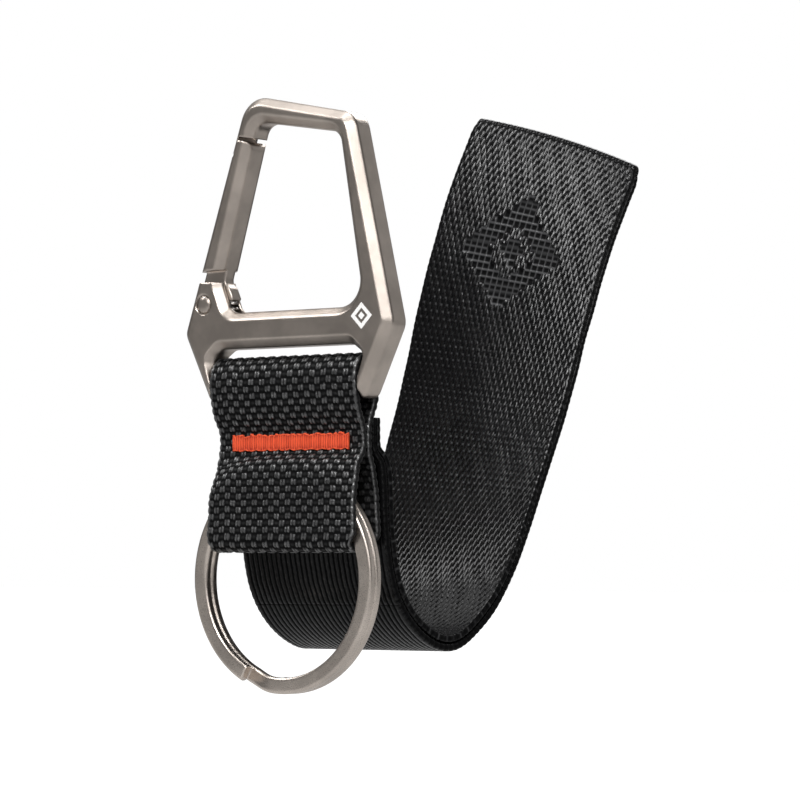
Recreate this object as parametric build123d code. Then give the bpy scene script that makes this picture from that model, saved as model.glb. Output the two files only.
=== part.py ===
from build123d import *

import os
from math import cos, radians, sin

import numpy as np

# A key organiser: a sprung trapezoid carabiner, a coarse webbing tab looped round its lower bar, a split key
# ring in the tab's lower pocket, and a fine webbing wrist strap sewn in behind the tab.
#
# Millimetres. +X is to the right along the webbing's width, -Y is the front face, +Z is up. Every shape is
# drawn with the middle of the carabiner's lower bar at (0, 0, 0). On writing, the whole object is lowered by
# HOOK_HEIGHT, so that the origin is the point inside the top bar where the hook bears on what it hangs from.
# Points are (x, z) on the frame's mid-plane, or (y, z) on a section across the webbing.

# ---- driving dimensions -------------------------------------------------------------------------------------
WEBBING_WIDTH = 25.0

FRAME_THICKNESS = 5.0
HALF_FRAME = FRAME_THICKNESS / 2
CHAMFER = 1.15
EDGE_SOFTENING = 0.55
BAR_RADIUS = 1.5
HOOK_HEIGHT = 34.4

PIVOT = (-14.0, 10.9)
RIVET_RADIUS = 0.8
RIVET_HEAD_RADIUS = 1.25
RIVET_HEAD_HEIGHT = 0.3
RIVET_DOME_RADIUS = 3.5
RIVET_RECESS_RADIUS = 1.4
RIVET_RECESS_DEPTH = 0.15
RUNNING_CLEARANCE = 0.05
KNUCKLE_RADIUS = 2.2
KNUCKLE_CLEARANCE = 0.25
TONGUE_THICKNESS = 1.8
TONGUE_SETBACK = 0.5
EAR_SLOT_WIDTH = 2.0
EAR_SLOT_END_X = -9.0
EAR_TOP = 13.9
GATE_SHOULDER_Z = 15.2
GATE_SHOULDER_RISE = 0.4
GATE_HEEL_Z = 11.4
SLOT_FLOOR_Z = 8.85
NOSE_GAP = 0.5
LIP_GAP = 0.15
SPRING_RADIUS = 0.8
SPRING_HOLE_RADIUS = 0.9
SPRING_WIRE_RADIUS = 0.16
SPRING_TURNS = 7
SPRING_X = -10.85
SPRING_BOTTOM_Z = 6.0

RING_OUTER_RADIUS = 15.4
RING_INNER_RADIUS = 13.2
RING_COIL_THICKNESS = 1.22
RING_COIL_GAP = 0.06
RING_SECTION_ROUNDING = 0.38
RING_CENTRE = (-0.6, -0.8, -26.4)
RING_CLEARANCE = 0.1
RING_CUT_ANGLE = -117.0
RING_CUT_GAP = 2.0
RING_JOG_SPAN = 20.0
RING_JOG_SECTIONS = 7

TACK_WIDTH = 20.2
TACK_TOP_Z = -7.0
TACK_BOTTOM_Z = -9.2
PINCH_FRONT_Y = -0.75
PINCH_BACK_Y = 1.3
THREAD_HEIGHT = 0.25
BAR_LOOP_DEPTH = 2.8
BAR_LOOP_TOP_Z = 3.7
BAR_LOOP_LAYER = 1.25
LOOP_TO_LOOP_GAP = 0.25

STRAP_LAYER = 1.1
STRAP_SEWN_LAYER = 0.75
STRAP_FULL_AT = 4.0
STRAP_LAYER_GAP = 0.1
STRAP_SEWN_TOP_Z = -5.6
STRAP_TWIST = 30.0
STRAP_DRIFT = 4.4
STRAP_HINGE_AT = 30.0
STRAP_HINGE_GAP = 0.5
STRAP_NEAR_START = 0.9
STRAP_NEAR_SECTIONS = 14
STRAP_FAR_SECTIONS = 18
STRAP_CENTRE_LINE = (
    (2.45, -9.4),
    (3.5, -10.35),
    (4.3, -12.4),
    (4.65, -17.0),
    (5.3, -22.6),
    (6.9, -27.8),
    (13.9, -34.2),
    (18.8, -35.1),
    (23.8, -32.6),
    (28.8, -27.7),
    (35.6, -15.5),
    (42.1, 0.6),
    (46.9, 16.1),
    (52.3, 30.9),
    (54.5, 36.0),
)

# How far a cutting shape reaches past what it cuts, so that no skin is left.
OVERCUT = 2.0
THIN_OVERCUT = 0.001


# ---- drawing helpers ----------------------------------------------------------------------------------------
def rounded_outline(points, radii=0.0):
    """A flat closed face through the points. radii is one corner radius, or one for each point."""
    face = make_face(Polyline(*points, close=True))
    each = radii if isinstance(radii, (list, tuple)) else [radii] * len(points)
    for point, radius in zip(points, each):
        if radius:
            corner = face.vertices().sort_by_distance(point)[0]
            face = fillet(corner, radius)
    return face


def plate(face, thickness):
    """A face drawn in (x, z), extruded to lie evenly about the frame's mid-plane."""
    return extrude(Plane.XZ * face, thickness / 2, both=True)


def webbing(face, width=WEBBING_WIDTH):
    """A face drawn in (y, z), extruded across the webbing's width."""
    return extrude(Plane.YZ * face, width / 2, both=True)


def along_y(x, z, radius, length):
    """A round bar parallel to Y, centred on the frame's mid-plane."""
    return Pos(x, 0, z) * Rot(90, 0, 0) * Cylinder(radius, length)


# ---- carabiner frame and gate -------------------------------------------------------------------------------
OUTER_CORNERS = ((-18.1, 7.0), (-7.0, 39.2), (11.6, 35.4), (18.2, 7.2), (13.4, -2.6), (-13.4, -2.6))
OUTER_RADII = (1.9, 4.0, 3.0, 2.6, 1.7, 1.7)
OPENING_CORNERS = ((-11.6, 13.9), (-5.2, 35.4), (9.1, 33.05), (13.15, 9.65), (-9.9, 9.65))
OPENING_RADII = (2.5, 2.0, 2.0, 3.5, 1.8)
SLOT_WALL = ((-11.3, 4.75), (11.3, 4.75), (13.0, 3.6), (12.85, 0.3), (-12.85, 0.3), (-13.0, 3.6))
SLOT_WALL_RADII = (1.5, 1.5, 1.3, 0, 0, 1.3)
SLOT_MOUTH = ((-11.7, 5.9), (11.7, 5.9), (14.15, 3.65), (12.95, 0.3), (-12.95, 0.3), (-14.15, 3.65))
SLOT_MOUTH_RADII = (2.2, 2.2, 1.8, 0, 0, 1.8)

NOSE_INNER = (-5.9, 33.15)
NOSE_SLOPE = -0.176
LIP_END_Z = 31.4
LIP_THICKNESS = 0.79


def outer_x(z):
    """Where the frame's straight left edge lies at a height."""
    (x0, z0), (x1, z1) = OUTER_CORNERS[0], OUTER_CORNERS[1]
    return x0 + (x1 - x0) * (z - z0) / (z1 - z0)


def inner_x(z):
    """Where the gate's straight inner wall lies at a height."""
    (x0, z0), (x1, z1) = OPENING_CORNERS[0], OPENING_CORNERS[1]
    return x0 + (x1 - x0) * (z - z0) / (z1 - z0)


def nose_z(x):
    """The height of the nose's end face."""
    return NOSE_INNER[1] + NOSE_SLOPE * (x - NOSE_INNER[0])


def face_edges(shape, depths):
    """The edges that lie flat at one of the distances from the mid-plane."""
    near = 0.001

    def flat_at(edge):
        low, high = edge.bounding_box().min.Y, edge.bounding_box().max.Y
        return high - low < near and any(abs(abs(low) - depth) < near for depth in depths)

    return shape.edges().filter_by(flat_at)


def chamfered_blank():
    """The closed trapezoid with its main opening, chamfered all round on both faces, before the gate is cut."""
    body = plate(rounded_outline(OUTER_CORNERS, OUTER_RADII), FRAME_THICKNESS)
    body -= plate(rounded_outline(OPENING_CORNERS, OPENING_RADII), 2 * FRAME_THICKNESS)
    body = chamfer(face_edges(body, [HALF_FRAME]), CHAMFER)
    return fillet(face_edges(body, [HALF_FRAME, HALF_FRAME - CHAMFER]), EDGE_SOFTENING)


def slot_mouth(side):
    """The slot's bevelled mouth on one face, which fades out towards the bar. side is -1 for the front."""
    wall = Plane.XZ.offset(-side * (HALF_FRAME - CHAMFER)) * rounded_outline(SLOT_WALL, SLOT_WALL_RADII)
    mouth = Plane.XZ.offset(-side * (HALF_FRAME + THIN_OVERCUT)) * rounded_outline(SLOT_MOUTH, SLOT_MOUTH_RADII)
    return loft([wall, mouth])


def webbing_slot():
    """What is cut away for the webbing: the slot over the bar, and all below it between the two cheeks."""
    below = 2 * OUTER_CORNERS[4][1]
    left, right = SLOT_WALL[4], SLOT_WALL[3]
    through = [*SLOT_WALL[:4], (right[0], below), (left[0], below), *SLOT_WALL[4:]]
    radii = [*SLOT_WALL_RADII[:4], 0, 0, *SLOT_WALL_RADII[4:]]
    cut = plate(rounded_outline(through, radii), 2 * FRAME_THICKNESS)
    return cut + slot_mouth(-1) + slot_mouth(1)


def gate_bay():
    """What is cut away from the left leg for the gate: from the ears up to the nose, but not the nose's lip."""
    far_left, far_right = OUTER_CORNERS[0][0] - OVERCUT, NOSE_INNER[0] + OVERCUT
    lip_top_z = nose_z(outer_x(NOSE_INNER[1]) + LIP_THICKNESS)
    bay = [
        (far_right, nose_z(far_right)),
        (outer_x(lip_top_z) + LIP_THICKNESS, lip_top_z),
        (outer_x(LIP_END_Z) + LIP_THICKNESS, LIP_END_Z),
        (far_left, LIP_END_Z),
        (far_left, EAR_TOP),
        (far_right, EAR_TOP),
    ]
    return plate(make_face(Polyline(*bay, close=True)), 2 * FRAME_THICKNESS)


def ear_slot():
    """The slot between the two ears, where the gate's tongue turns, with the spring's hole under it."""
    left, right, top = OUTER_CORNERS[0][0] - OVERCUT, EAR_SLOT_END_X, EAR_TOP + OVERCUT
    sides = [(left, PIVOT[1]), (left, top), (right, top), (right, SLOT_FLOOR_Z), (PIVOT[0], SLOT_FLOOR_Z)]
    cut = plate(make_face(Polyline(*sides, close=True)), EAR_SLOT_WIDTH)
    cut += along_y(*PIVOT, KNUCKLE_RADIUS + KNUCKLE_CLEARANCE, EAR_SLOT_WIDTH)
    depth = SLOT_FLOOR_Z - SPRING_BOTTOM_Z
    return cut + Pos(SPRING_X, 0, SPRING_BOTTOM_Z + depth / 2) * Cylinder(SPRING_HOLE_RADIUS, depth)


def carabiner_frame():
    frame = chamfered_blank() - webbing_slot()
    bar_length = 2 * SLOT_WALL[3][0] + 1
    frame += Rot(0, 90, 0) * Cylinder(BAR_RADIUS, bar_length)
    frame -= gate_bay()
    frame -= ear_slot()
    frame -= along_y(*PIVOT, RIVET_RADIUS, 2 * FRAME_THICKNESS)
    for side in (-1, 1):
        recess = Pos(0, side * (HALF_FRAME - RIVET_RECESS_DEPTH / 2), 0)
        frame -= recess * along_y(*PIVOT, RIVET_RECESS_RADIUS, RIVET_RECESS_DEPTH)
    return frame


def gate_lever():
    """The full-thickness gate body, and the thin tongue under its shoulder that turns on the rivet."""
    far_left = OUTER_CORNERS[0][0] - OVERCUT
    notch_x = LIP_THICKNESS + LIP_GAP
    top_z = nose_z(outer_x(NOSE_INNER[1]) + notch_x) - NOSE_GAP
    inner_top_z = NOSE_INNER[1] - NOSE_GAP
    inner_shoulder_z = GATE_SHOULDER_Z + GATE_SHOULDER_RISE
    notch_z = LIP_END_Z - NOSE_GAP
    body_area = [
        (outer_x(top_z) + notch_x, top_z),
        (inner_x(inner_top_z), inner_top_z),
        (inner_x(inner_shoulder_z), inner_shoulder_z),
        (far_left, GATE_SHOULDER_Z),
        (far_left, notch_z),
        (outer_x(notch_z) + notch_x, notch_z),
    ]
    body_radii = (0.3, 1.0, 0, 0, 0, 0)
    gate = chamfered_blank() & plate(rounded_outline(body_area, body_radii), 2 * FRAME_THICKNESS)

    root_z = inner_shoulder_z + TONGUE_SETBACK
    tongue = [
        (PIVOT[0] - KNUCKLE_RADIUS, PIVOT[1]),
        (outer_x(GATE_SHOULDER_Z) + TONGUE_SETBACK, GATE_SHOULDER_Z),
        (outer_x(root_z) + TONGUE_SETBACK, root_z),
        (inner_x(root_z), root_z),
        (inner_x(EAR_TOP), EAR_TOP),
        (-10.75, 13.2),
        (-9.95, GATE_HEEL_Z),
        (-12.2, GATE_HEEL_Z),
        (PIVOT[0] + TONGUE_SETBACK, PIVOT[1]),
    ]
    tongue_radii = (0, 0, 0, 0, 1.0, 1.0, 0.3, 0, 0)
    gate += plate(rounded_outline(tongue, tongue_radii), TONGUE_THICKNESS)
    gate += along_y(*PIVOT, KNUCKLE_RADIUS, TONGUE_THICKNESS)
    gate -= along_y(*PIVOT, RIVET_RADIUS + RUNNING_CLEARANCE, FRAME_THICKNESS)
    return gate


def gate_rivet():
    """A plain pin with a domed head in each ear's shallow recess."""
    seat = HALF_FRAME - RIVET_RECESS_DEPTH
    rivet = Cylinder(RIVET_RADIUS, 2 * seat)
    head_top = seat + RIVET_HEAD_HEIGHT
    for side in (-1, 1):
        head = Pos(0, 0, side * (seat + RIVET_HEAD_HEIGHT / 2)) * Cylinder(RIVET_HEAD_RADIUS, RIVET_HEAD_HEIGHT)
        rivet += head & (Pos(0, 0, side * (head_top - RIVET_DOME_RADIUS)) * Sphere(RIVET_DOME_RADIUS))
    return Pos(PIVOT[0], 0, PIVOT[1]) * Rot(90, 0, 0) * rivet


def gate_spring():
    """A small compression spring that stands in the frame and pushes up under the gate's heel."""
    coil_radius = SPRING_RADIUS - SPRING_WIRE_RADIUS
    height = GATE_HEEL_Z - RUNNING_CLEARANCE - SPRING_BOTTOM_Z - 2 * SPRING_WIRE_RADIUS
    path = Helix(height / SPRING_TURNS, height, coil_radius)
    start = Plane(path @ 0, z_dir=path % 0)
    coil = sweep(start * Circle(SPRING_WIRE_RADIUS), path, is_frenet=True)
    return Pos(SPRING_X, 0, SPRING_BOTTOM_Z + SPRING_WIRE_RADIUS) * coil


# ---- split ring ---------------------------------------------------------------------------------------------
def ring_section(depth, angle):
    """The flat wire's section at a depth along the ring's own axis, turned to an angle from +X towards +Z."""
    wide = RING_OUTER_RADIUS - RING_INNER_RADIUS
    middle = (RING_OUTER_RADIUS + RING_INNER_RADIUS) / 2
    section = Pos(middle, depth) * RectangleRounded(wide, RING_COIL_THICKNESS, RING_SECTION_ROUNDING)
    return Rot(0, -angle, 0) * section


def split_ring():
    """Two flat turns of one wire. Just past its cut end the wire steps from the rear turn to the front one."""
    front = -(RING_COIL_THICKNESS + RING_COIL_GAP) / 2
    back_axis = Axis((0, 0, 0), (0, -1, 0))
    jog_end = RING_CUT_ANGLE + RING_CUT_GAP + RING_JOG_SPAN
    full = 360 - RING_JOG_SPAN - RING_CUT_GAP
    ring = revolve(ring_section(front, jog_end), back_axis, full)
    ring += revolve(ring_section(-front, jog_end + RING_CUT_GAP), back_axis, full)
    steps = []
    for part in np.linspace(0, 1, RING_JOG_SECTIONS):
        eased = part * part * (3 - 2 * part)
        depth = -front + 2 * front * eased
        steps.append(ring_section(depth, jog_end - RING_JOG_SPAN * (1 - part)))
    ring += loft(steps)
    return Pos(*RING_CENTRE) * ring


def ring_clearance():
    """The space the ring needs as it turns: its two coils, a little larger all round."""
    half_depth = RING_COIL_THICKNESS + RING_COIL_GAP / 2 + RING_CLEARANCE
    swept = Cylinder(RING_OUTER_RADIUS + RING_CLEARANCE, 2 * half_depth)
    swept -= Cylinder(RING_INNER_RADIUS - RING_CLEARANCE, 2 * half_depth)
    return Pos(*RING_CENTRE) * Rot(90, 0, 0) * swept


# ---- coarse webbing tab -------------------------------------------------------------------------------------
def tab_bar_loop():
    """The tab's upper loop: slack over the lower bar, then both layers down to the bar tack."""
    front, back = (-BAR_LOOP_DEPTH, 0), (BAR_LOOP_DEPTH, 0)
    outside = [
        Spline(front, (-2.6, -2.6), (-1.5, -5.6), (PINCH_FRONT_Y, TACK_TOP_Z), tangents=[(0, -1), (0, -1)]),
        Line((PINCH_FRONT_Y, TACK_TOP_Z), (PINCH_FRONT_Y, TACK_BOTTOM_Z)),
        Line((PINCH_FRONT_Y, TACK_BOTTOM_Z), (PINCH_BACK_Y, TACK_BOTTOM_Z)),
        Line((PINCH_BACK_Y, TACK_BOTTOM_Z), (PINCH_BACK_Y, STRAP_SEWN_TOP_Z)),
        Spline((PINCH_BACK_Y, STRAP_SEWN_TOP_Z), (2.3, -3.6), back, tangents=[(0, 1), (0, 1)]),
        Spline(back, (0, BAR_LOOP_TOP_Z), front, tangents=[(0, 1), (0, -1)]),
    ]
    inside_radius = BAR_RADIUS + RUNNING_CLEARANCE
    meeting = (0.3, -5.6)
    inside = [
        Spline((-inside_radius, 0), (-1.2, -2.9), meeting, tangents=[(0, -1), (1, -1)]),
        Spline(meeting, (1.25, -2.6), (inside_radius, 0), tangents=[(0.5, 1), (0, 1)]),
        Spline(
            (inside_radius, 0),
            (0, BAR_LOOP_TOP_Z - BAR_LOOP_LAYER),
            (-inside_radius, 0),
            tangents=[(0, 1), (0, -1)],
        ),
    ]
    return webbing(make_face(outside) - make_face(inside))


def tab_ring_loop():
    """The tab's lower loop: the pocket that carries the split ring, eased where the ring presses into it."""
    top = TACK_BOTTOM_Z - LOOP_TO_LOOP_GAP
    back_outside = [(1.4, top), (2.35, -10.2), (2.85, -12.5), (3.03, -16.5), (3.03, -22.95)]
    back_inside = [(1.28, -9.72), (1.62, -11.0), (1.85, -12.9), (1.98, -16.5), (1.98, -21.9)]
    front_outside = [(-3.15, -22.95), (-3.15, -16.5), (-3.05, -12.2), (-2.6, -10.15), (-1.45, top)]
    front_inside = [(-2.15, -21.9), (-2.15, -16.5), (-2.1, -12.2), (-1.9, -10.8), (-1.35, -9.72)]
    outside_radii = (0, 0.8, 1.5, 2.0, 1.7, 1.7, 2.0, 1.5, 0.8, 0)
    inside_radii = (0, 0.8, 1.5, 2.0, 0.7, 0.7, 2.0, 1.5, 0.8, 0)
    outside = rounded_outline(back_outside + front_outside, outside_radii)
    inside = rounded_outline(back_inside + front_inside, inside_radii)
    return webbing(outside - inside) - ring_clearance()


def tack_thread(y_low, y_high):
    """One face of the bar tack: a flat pad of thread across the tab."""
    height = TACK_TOP_Z - TACK_BOTTOM_Z
    middle = (TACK_TOP_Z + TACK_BOTTOM_Z) / 2
    return Pos(0, (y_low + y_high) / 2, middle) * Box(TACK_WIDTH, y_high - y_low, height)


def bar_tack_front():
    return tack_thread(PINCH_FRONT_Y - THREAD_HEIGHT, PINCH_FRONT_Y)


def bar_tack_back():
    back = PINCH_BACK_Y + 2 * STRAP_SEWN_LAYER
    return tack_thread(back, back + THREAD_HEIGHT)


# ---- wrist strap --------------------------------------------------------------------------------------------
def natural_spline(points):
    """A smooth curve through (y, z) points, as a function of the distance along their chords, and its length."""
    points = np.array(points)
    at = np.concatenate([[0], np.cumsum(np.hypot(*np.diff(points, axis=0).T))])
    step = np.diff(at)
    slopes = np.diff(points, axis=0) / step[:, None]
    count = len(points)
    system = np.eye(count)
    right = np.zeros((count, 2))
    for i in range(1, count - 1):
        system[i, i - 1 : i + 2] = step[i - 1], 2 * (step[i - 1] + step[i]), step[i]
        right[i] = 6 * (slopes[i] - slopes[i - 1])
    bend = np.linalg.solve(system, right)

    def position(s):
        i = int(np.clip(np.searchsorted(at, s) - 1, 0, count - 2))
        a, b, h = at[i + 1] - s, s - at[i], step[i]
        ends = (bend[i] * a**3 + bend[i + 1] * b**3) / (6 * h)
        return ends + (points[i] / h - bend[i] * h / 6) * a + (points[i + 1] / h - bend[i + 1] * h / 6) * b

    return position, at[-1]


strap_yz, STRAP_LENGTH = natural_spline(STRAP_CENTRE_LINE)


def strap_frame(s):
    """The strap's centre at a distance along it, with its length, width and outward directions there. Past the
    turn the strap twists steadily and drifts to the right."""

    def centre(at):
        turned = max(0.0, (at - STRAP_HINGE_AT) / (STRAP_LENGTH - STRAP_HINGE_AT))
        return np.array([STRAP_DRIFT * turned**3, *strap_yz(at)]), turned

    step = 0.01
    along = centre(s + step)[0] - centre(s - step)[0]
    along /= np.linalg.norm(along)
    place, turned = centre(s)
    twist = radians(STRAP_TWIST * turned)
    across = np.array([cos(twist), sin(twist), 0])
    across -= (across @ along) * along
    across /= np.linalg.norm(across)
    return place, along, across, np.cross(along, across)


def strap_thickness(s):
    """One layer's thickness: squeezed where it leaves the bar tack, and full a little way down."""
    eased = min(1.0, max(0.0, s / STRAP_FULL_AT))
    return STRAP_SEWN_LAYER + (STRAP_LAYER - STRAP_SEWN_LAYER) * eased


def strap_layer(start, end, side, sections):
    """One layer between two distances along the strap. side is 1 for the outside of the turn, -1 for the inside."""
    faces = []
    for s in np.linspace(start, end, sections):
        place, along, across, outward = strap_frame(s)
        thickness = strap_thickness(s)
        middle = place + outward * side * (thickness + STRAP_LAYER_GAP) / 2
        plane = Plane(origin=tuple(middle), x_dir=tuple(across), z_dir=tuple(along))
        faces.append(plane * Rectangle(WEBBING_WIDTH, thickness))
    return loft(faces)


def strap_sewn_ends():
    """The strap's two cut ends, squeezed together behind the tab under the bar tack."""
    thick = 2 * STRAP_SEWN_LAYER
    high = STRAP_SEWN_TOP_Z - TACK_BOTTOM_Z
    middle = (STRAP_SEWN_TOP_Z + TACK_BOTTOM_Z) / 2
    return Pos(0, PINCH_BACK_Y + thick / 2, middle) * Box(WEBBING_WIDTH, thick, high)


def strap_end_fold():
    """The tight fold where the wrist loop turns back on itself."""
    place, along, across, outward = strap_frame(STRAP_LENGTH)
    plane = Plane(origin=tuple(place), x_dir=tuple(outward), z_dir=tuple(across))
    outer = STRAP_LAYER + STRAP_LAYER_GAP / 2
    ring = Circle(outer) - Circle(STRAP_LAYER_GAP / 2)
    half = ring & (Pos(0, outer / 2) * Rectangle(2 * outer, outer))
    return extrude(plane * half, WEBBING_WIDTH / 2, both=True)


NEAR_RUN = (STRAP_NEAR_START, STRAP_HINGE_AT - STRAP_HINGE_GAP / 2)
FAR_RUN = (STRAP_HINGE_AT + STRAP_HINGE_GAP / 2, STRAP_LENGTH)

PARTS = {
    "carabiner_frame": carabiner_frame,
    "gate_lever": gate_lever,
    "gate_rivet": gate_rivet,
    "gate_spring": gate_spring,
    "split_ring": split_ring,
    "tab_bar_loop": tab_bar_loop,
    "tab_ring_loop": tab_ring_loop,
    "bar_tack_front": bar_tack_front,
    "bar_tack_back": bar_tack_back,
    "strap_sewn_ends": strap_sewn_ends,
    "strap_near_outer_layer": lambda: strap_layer(*NEAR_RUN, 1, STRAP_NEAR_SECTIONS),
    "strap_near_inner_layer": lambda: strap_layer(*NEAR_RUN, -1, STRAP_NEAR_SECTIONS),
    "strap_far_outer_layer": lambda: strap_layer(*FAR_RUN, 1, STRAP_FAR_SECTIONS),
    "strap_far_inner_layer": lambda: strap_layer(*FAR_RUN, -1, STRAP_FAR_SECTIONS),
    "strap_end_fold": strap_end_fold,
}

os.makedirs("parts", exist_ok=True)
for name, build in PARTS.items():
    shape = Pos(0, 0, -HOOK_HEIGHT) * build()
    shape.label = name
    export_step(shape, f"parts/{name}.step")
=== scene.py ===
from math import cos, pi, radians, sin

import bpy
import numpy as np
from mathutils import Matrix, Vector


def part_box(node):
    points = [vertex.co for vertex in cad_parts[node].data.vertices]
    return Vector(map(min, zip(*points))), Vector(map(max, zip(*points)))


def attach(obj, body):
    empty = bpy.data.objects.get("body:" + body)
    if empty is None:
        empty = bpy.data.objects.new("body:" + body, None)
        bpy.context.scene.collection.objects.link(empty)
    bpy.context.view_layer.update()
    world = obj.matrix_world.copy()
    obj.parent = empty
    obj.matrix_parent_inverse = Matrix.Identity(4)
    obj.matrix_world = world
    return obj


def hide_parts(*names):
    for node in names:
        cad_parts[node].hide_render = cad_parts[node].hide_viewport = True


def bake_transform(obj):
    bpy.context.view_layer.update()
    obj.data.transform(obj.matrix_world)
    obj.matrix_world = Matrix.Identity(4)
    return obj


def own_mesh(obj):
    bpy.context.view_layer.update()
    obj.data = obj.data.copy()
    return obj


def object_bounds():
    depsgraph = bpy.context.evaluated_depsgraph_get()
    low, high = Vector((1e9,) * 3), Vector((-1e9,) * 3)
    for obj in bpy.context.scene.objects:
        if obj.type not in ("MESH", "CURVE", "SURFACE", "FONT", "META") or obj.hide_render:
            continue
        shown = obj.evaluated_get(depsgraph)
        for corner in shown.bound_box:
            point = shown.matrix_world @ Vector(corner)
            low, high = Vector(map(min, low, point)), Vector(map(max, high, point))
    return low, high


# The looks of a key organiser: satin metal on the carabiner, gate, rivet and split ring, which are the
# CAD's own meshes, and woven meshes for the webbing tab, its bar tack and the wrist strap, which stand for
# the CAD's plain soft solids.
#
# Shapes are worked out in millimetres from the middle of the carabiner's lower bar, as in the CAD source:
# +X is to the right, -Y is the front and +Z is up. place() turns them into metres in the row's frame.
#
# A weave is drawn at (a, s): a is the distance across the webbing from its middle, and s is the distance
# along it.

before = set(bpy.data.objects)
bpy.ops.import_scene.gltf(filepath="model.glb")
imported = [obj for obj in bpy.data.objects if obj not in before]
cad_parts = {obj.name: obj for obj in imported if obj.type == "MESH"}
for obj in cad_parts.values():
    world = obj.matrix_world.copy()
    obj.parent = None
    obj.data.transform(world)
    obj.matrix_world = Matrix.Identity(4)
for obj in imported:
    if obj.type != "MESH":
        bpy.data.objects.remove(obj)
cad_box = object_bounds()

MM = 0.001
HOOK_HEIGHT = 34.4
FRONT_FACE_Y = -2.5
WEBBING_WIDTH = 25.0
LAYER_GAP = 0.1


def place(points):
    """Millimetres from the lower bar to metres in the row's frame."""
    return (np.asarray(points, float) - (0, 0, HOOK_HEIGHT)) * MM


# ---- small numeric helpers ---------------------------------------------------------------------------
def smoothstep(low, high, x):
    t = np.clip((x - low) / (high - low), 0, 1)
    return t * t * (3 - 2 * t)


def hump(x):
    """1 at the middle of each whole step of x and 0 at its ends, rounded like a yarn."""
    f = 2 * (x - np.floor(x)) - 1
    return 1 - f * f


def alternate(x):
    """1 on even steps of x and -1 on odd ones."""
    return 1 - 2 * (np.floor(x) % 2)


SCATTER_COLUMN = 12.9898
SCATTER_ROW = 78.233
SCATTER_SPREAD = 43758.5453


def scatter(column, row):
    """A value from 0 to 1 for each cell, the same each time: the digits far down in a sine."""
    mixed = np.sin(SCATTER_COLUMN * column + SCATTER_ROW * row) * SCATTER_SPREAD
    return mixed - np.floor(mixed)


NOISE_WAVES = 4
NOISE_SPACING = 0.37


def slow_noise(s, wavelength, seed):
    """A smooth, seeded wobble of about -1 to 1 along s."""
    phases = np.random.default_rng(seed).uniform(0, 2 * pi, NOISE_WAVES)
    waves = []
    for k, phase in enumerate(phases):
        waves.append(np.sin(2 * pi * s * (1 + NOISE_SPACING * k) / wavelength + phase))
    return np.mean(waves, axis=0)


def natural_spline(points):
    """A smooth curve through rows of numbers, as a function of the distance along the first two columns'
    chords, with the distance to each row."""
    points = np.array(points, float)
    at = np.concatenate([[0], np.cumsum(np.hypot(*np.diff(points[:, :2], axis=0).T))])
    step = np.diff(at)
    slopes = np.diff(points, axis=0) / step[:, None]
    count = len(points)
    system = np.eye(count)
    right = np.zeros_like(points)
    for i in range(1, count - 1):
        system[i, i - 1 : i + 2] = step[i - 1], 2 * (step[i - 1] + step[i]), step[i]
        right[i] = 6 * (slopes[i] - slopes[i - 1])
    bend = np.linalg.solve(system, right)

    def position(s):
        i = np.clip(np.searchsorted(at, s) - 1, 0, count - 2)
        a, b, h = (at[i + 1] - s)[:, None], (s - at[i])[:, None], step[i][:, None]
        ends = (bend[i] * a**3 + bend[i + 1] * b**3) / (6 * h)
        from_start = (points[i] / h - bend[i] * h / 6) * a
        from_end = (points[i + 1] / h - bend[i + 1] * h / 6) * b
        return ends + from_start + from_end

    return position, at


def unit(vectors):
    return vectors / np.linalg.norm(vectors, axis=-1, keepdims=True)


# ---- mesh building -----------------------------------------------------------------------------------
def grid_mesh(name, points, closed, attributes):
    """A tube of quads through rows of rings, all in millimetres. A closed one joins its last row to its
    first, and an open one gets an end face at each end. attributes are values for each point, kept on the
    mesh."""
    rows, ring = points.shape[:2]
    index = np.arange(rows * ring).reshape(rows, ring)
    below = index if closed else index[:-1]
    above = np.roll(index, -1, axis=0) if closed else index[1:]
    quads = np.stack([below, above, np.roll(above, -1, axis=1), np.roll(below, -1, axis=1)], axis=-1)
    faces = quads.reshape(-1, 4).tolist()
    if not closed:
        faces += [index[0].tolist(), index[-1][::-1].tolist()]
    mesh = bpy.data.meshes.new(name)
    mesh.from_pydata(place(points.reshape(-1, 3)).tolist(), [], faces)
    mesh.shade_smooth()
    for key, values in attributes.items():
        kind, field = ("FLOAT_VECTOR", "vector") if values.ndim == 3 else ("FLOAT", "value")
        mesh.attributes.new(key, kind, "POINT").data.foreach_set(field, values.ravel())
    piece = bpy.data.objects.new(name, mesh)
    bpy.context.scene.collection.objects.link(piece)
    return piece


def tube(name, centres, radius, sides):
    """A round wire through the centres, with flat ends."""
    along = unit(np.gradient(centres, axis=0))
    side = unit(np.cross(along, (0, 0, 1)))
    other = np.cross(side, along)
    turn = np.linspace(0, 2 * pi, sides, endpoint=False)[None, :, None]
    points = centres[:, None] + radius * (side[:, None] * np.cos(turn) + other[:, None] * np.sin(turn))
    distance = np.linspace(0, 1, len(centres))[:, None] * np.ones(sides)
    return grid_mesh(name, points, False, {"relief": distance})


EDGE_POINTS = 7
EDGE_SQUARENESS = 0.6


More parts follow.
